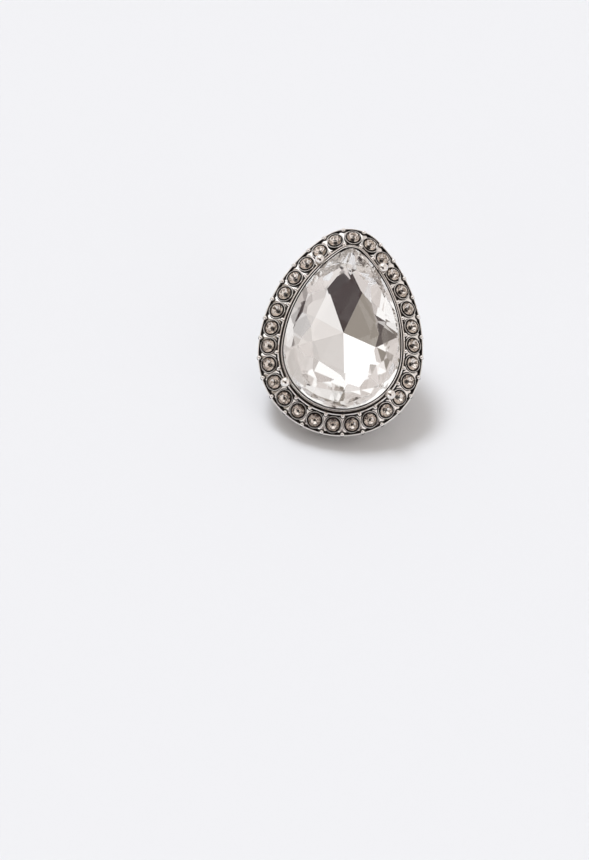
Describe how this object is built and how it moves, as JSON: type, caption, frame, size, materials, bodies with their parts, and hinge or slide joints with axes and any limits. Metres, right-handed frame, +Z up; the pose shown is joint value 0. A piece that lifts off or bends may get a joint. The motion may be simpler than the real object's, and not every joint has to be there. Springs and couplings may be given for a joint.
{
  "type": "teardrop halo stud earring",
  "caption": "Pear-shaped stud earring: a claw-set foil-backed pear stone in a cast halo of small round stones, with a straight ear post.",
  "frame": {"origin": "bottom centre of the earring's box, on the surface that it lies on", "axes": "+Z up from the surface, +Y from the round end towards the tip and the post's end, +X to the right seen from the front"},
  "size_m": [0.0186, 0.025, 0.0145],
  "materials": {
    "rhodium_plate": "polished bright plating with dark recesses",
    "clear_crystal": "faceted foil-backed glass",
    "halo_crystal": "faceted foil-backed glass with a smoky tint",
    "post_steel": "drawn grey steel"
  },
  "bodies": {
    "root": {"cast_frame": "rhodium_plate", "centre_stone": "clear_crystal", "ear_post": "post_steel", "halo_stone_01": "halo_crystal", "halo_stone_02": "halo_crystal", "halo_stone_03": "halo_crystal", "halo_stone_04": "halo_crystal", "halo_stone_05": "halo_crystal", "halo_stone_06": "halo_crystal", "halo_stone_07": "halo_crystal", "halo_stone_08": "halo_crystal", "halo_stone_09": "halo_crystal", "halo_stone_10": "halo_crystal", "halo_stone_11": "halo_crystal", "halo_stone_12": "halo_crystal", "halo_stone_13": "halo_crystal", "halo_stone_14": "halo_crystal", "halo_stone_15": "halo_crystal", "halo_stone_16": "halo_crystal", "halo_stone_17": "halo_crystal", "halo_stone_18": "halo_crystal", "halo_stone_19": "halo_crystal", "halo_stone_20": "halo_crystal", "halo_stone_21": "halo_crystal", "halo_stone_22": "halo_crystal", "halo_stone_23": "halo_crystal", "halo_stone_24": "halo_crystal", "halo_stone_25": "halo_crystal", "halo_stone_26": "halo_crystal", "halo_stone_27": "halo_crystal", "halo_stone_28": "halo_crystal"}
  },
  "joints": []
}
